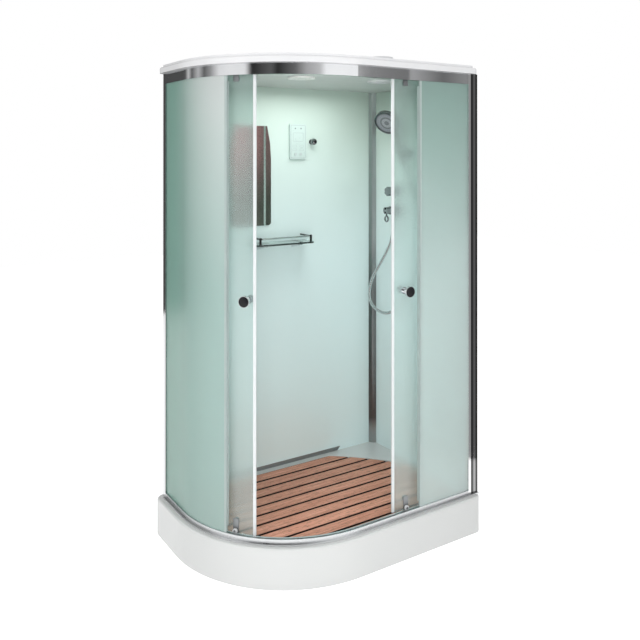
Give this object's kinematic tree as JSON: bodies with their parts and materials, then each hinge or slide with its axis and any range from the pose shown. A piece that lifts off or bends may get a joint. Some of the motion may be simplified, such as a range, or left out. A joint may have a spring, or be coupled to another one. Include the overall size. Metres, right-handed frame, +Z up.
{
  "type": "steam shower cabin",
  "caption": "Corner steam shower cabin: quadrant tray, wooden duckboard, two wall panels, curved fixed and sliding glass, roof, taps, hand shower and steam unit.",
  "frame": {"origin": "on the floor under the middle of the tray's outline", "axes": "+Z up, +X to the right along the long back wall seen from the front, +Y towards the back wall; doors drawn open"},
  "size_m": [1.2, 0.8, 2.08],
  "materials": {
    "white_acrylic": "gloss",
    "ceiling_white": "satin",
    "duckboard_wood": "oiled",
    "chrome": "polished",
    "satin_aluminium": "satin",
    "wall_panel": "gloss",
    "frosted_glass": "frosted",
    "clear_glass": "clear",
    "seal": "translucent",
    "frame_steel": "powder coat",
    "foot_steel": "zinc plated",
    "grey_plastic": "moulded",
    "white_plastic": "moulded",
    "mirror_glass": "polished",
    "brass_valve": "cast",
    "nozzle_face": "matte",
    "lamp_lens": "opal"
  },
  "bodies": {
    "cabin": {"tray_shell": "white_acrylic", "tray_frame": "frame_steel", "levelling_feet": "foot_steel", "waste_flange": "chrome", "waste_trap": "grey_plastic", "duckboard_slats": "duckboard_wood", "duckboard_bearers": "duckboard_wood", "bottom_rail": "satin_aluminium", "top_rail": "chrome", "wall_column_left": "chrome", "wall_column_right": "chrome", "corner_column": "chrome", "back_wall_panel": "wall_panel", "side_wall_panel": "wall_panel", "wall_base_trim": "satin_aluminium", "fixed_glass_left": "frosted_glass", "fixed_glass_right": "frosted_glass", "fixed_glass_seals": "seal", "roof_shell": "white_acrylic", "ceiling_panel": "ceiling_white", "ceiling_lamp": "lamp_lens", "fan_housing": "white_plastic", "mirror": "mirror_glass", "shelf_plate": "clear_glass", "shelf_rail": "chrome", "shelf_brackets": "chrome", "control_panel": "white_plastic", "robe_hook": "chrome", "mixer_body": "chrome", "diverter_body": "chrome", "hose_nut_lower": "chrome", "shower_holder": "chrome", "shower_hose": "chrome", "steam_generator": "foot_steel", "steam_pipe": "chrome"},
    "fan_rotor": {"fan_rotor": "grey_plastic"},
    "button_steam": {"button_steam": "chrome"},
    "button_light": {"button_light": "chrome"},
    "mixer_cap": {"mixer_cap": "chrome"},
    "mixer_lever": {"mixer_lever": "chrome"},
    "diverter_knob": {"diverter_knob": "chrome"},
    "hand_shower": {"hand_shower": "chrome", "spray_face": "nozzle_face", "hose_nut_upper": "chrome"},
    "left_door": {"left_door_glass": "frosted_glass", "left_door_seals": "seal", "left_door_knobs": "chrome", "left_roller_brackets": "chrome"},
    "left_lead_wheel_bottom": {"left_lead_wheel_bottom": "white_plastic"},
    "left_lead_wheel_top": {"left_lead_wheel_top": "white_plastic"},
    "left_tail_wheel_bottom": {"left_tail_wheel_bottom": "white_plastic"},
    "left_tail_wheel_top": {"left_tail_wheel_top": "white_plastic"},
    "right_door": {"right_door_glass": "frosted_glass", "right_door_seals": "seal", "right_door_knobs": "chrome", "right_roller_brackets": "chrome"},
    "right_lead_wheel_bottom": {"right_lead_wheel_bottom": "white_plastic"},
    "right_lead_wheel_top": {"right_lead_wheel_top": "white_plastic"},
    "right_tail_wheel_bottom": {"right_tail_wheel_bottom": "white_plastic"},
    "right_tail_wheel_top": {"right_tail_wheel_top": "white_plastic"}
  },
  "joints": [
    {"name": "left_door_turn", "type": "hinge", "parent": "cabin", "child": "left_door", "pos_m": [-0.05, 0.15, 1], "axis": [0, 0, 1], "range_deg": [0, 37.9]},
    {"name": "right_door_slide", "type": "slide", "parent": "cabin", "child": "right_door", "axis": [-1, 0, 0], "range_m": [0, 0.276]},
    {"name": "left_lead_wheel_bottom_spin", "type": "hinge", "parent": "left_door", "child": "left_lead_wheel_bottom", "pos_m": [-0.46363, -0.11862, 0.1773], "axis": [-0.8387, -0.5446, 0], "range_deg": [-1880, 0]},
    {"name": "left_lead_wheel_top_spin", "type": "hinge", "parent": "left_door", "child": "left_lead_wheel_top", "pos_m": [-0.46363, -0.11862, 1.9863], "axis": [-0.8387, -0.5446, 0], "range_deg": [-1570, 0]},
    {"name": "left_tail_wheel_bottom_spin", "type": "hinge", "parent": "left_door", "child": "left_tail_wheel_bottom", "pos_m": [-0.5432, 0.15, 0.1773], "axis": [-1, 0, 0], "range_deg": [-1880, 0]},
    {"name": "left_tail_wheel_top_spin", "type": "hinge", "parent": "left_door", "child": "left_tail_wheel_top", "pos_m": [-0.5432, 0.15, 1.9863], "axis": [-1, 0, 0], "range_deg": [-1570, 0]},
    {"name": "right_lead_wheel_bottom_spin", "type": "hinge", "parent": "right_door", "child": "right_lead_wheel_bottom", "pos_m": [0.21739, -0.34313, 0.1773], "axis": [-0.0175, -0.9998, 0], "range_deg": [0, 1600]},
    {"name": "right_lead_wheel_top_spin", "type": "hinge", "parent": "right_door", "child": "right_lead_wheel_top", "pos_m": [0.21739, -0.34313, 1.9863], "axis": [-0.0175, -0.9998, 0], "range_deg": [0, 1330]},
    {"name": "right_tail_wheel_bottom_spin", "type": "hinge", "parent": "right_door", "child": "right_tail_wheel_bottom", "pos_m": [0.537, -0.3432, 0.1773], "axis": [0, -1, 0], "range_deg": [0, 1600]},
    {"name": "right_tail_wheel_top_spin", "type": "hinge", "parent": "right_door", "child": "right_tail_wheel_top", "pos_m": [0.537, -0.3432, 1.9863], "axis": [0, -1, 0], "range_deg": [0, 1330]},
    {"name": "mixer_turn", "type": "hinge", "parent": "cabin", "child": "mixer_cap", "pos_m": [0.51, 0.165, 1.375], "axis": [1, 0, 0], "range_deg": [-45, 45]},
    {"name": "mixer_tilt", "type": "hinge", "parent": "mixer_cap", "child": "mixer_lever", "pos_m": [0.5027, 0.165, 1.375], "axis": [0, 1, 0], "range_deg": [0, 25]},
    {"name": "diverter_turn", "type": "hinge", "parent": "cabin", "child": "diverter_knob", "pos_m": [0.52, 0.165, 1.47], "axis": [1, 0, 0], "range_deg": [-60, 60]},
    {"name": "hand_shower_lift", "type": "slide", "parent": "cabin", "child": "hand_shower", "axis": [-0.082, 0.3361, 0.9383], "range_m": [0, 0.06]},
    {"name": "fan_spin", "type": "hinge", "parent": "cabin", "child": "fan_rotor", "pos_m": [0.23, -0.15, 2], "axis": [0, 0, 1], "continuous": true},
    {"name": "button_steam_push", "type": "slide", "parent": "cabin", "child": "button_steam", "axis": [0, 1, 0], "range_m": [0, 0.0012], "stiffness_N_per_m": 300, "springref_m": -0.001},
    {"name": "button_light_push", "type": "slide", "parent": "cabin", "child": "button_light", "axis": [0, 1, 0], "range_m": [0, 0.0012], "stiffness_N_per_m": 300, "springref_m": -0.001}
  ],
  "couplings": [
    {"joint": "left_lead_wheel_bottom_spin", "follows": "left_door_turn", "ratio": -49.32},
    {"joint": "left_lead_wheel_top_spin", "follows": "left_door_turn", "ratio": -41.1},
    {"joint": "left_tail_wheel_bottom_spin", "follows": "left_door_turn", "ratio": -49.32},
    {"joint": "left_tail_wheel_top_spin", "follows": "left_door_turn", "ratio": -41.1},
    {"joint": "right_lead_wheel_bottom_spin", "follows": "right_door_slide", "rad_per_m": 100},
    {"joint": "right_lead_wheel_top_spin", "follows": "right_door_slide", "rad_per_m": 83.333},
    {"joint": "right_tail_wheel_bottom_spin", "follows": "right_door_slide", "rad_per_m": 100},
    {"joint": "right_tail_wheel_top_spin", "follows": "right_door_slide", "rad_per_m": 83.333}
  ]
}
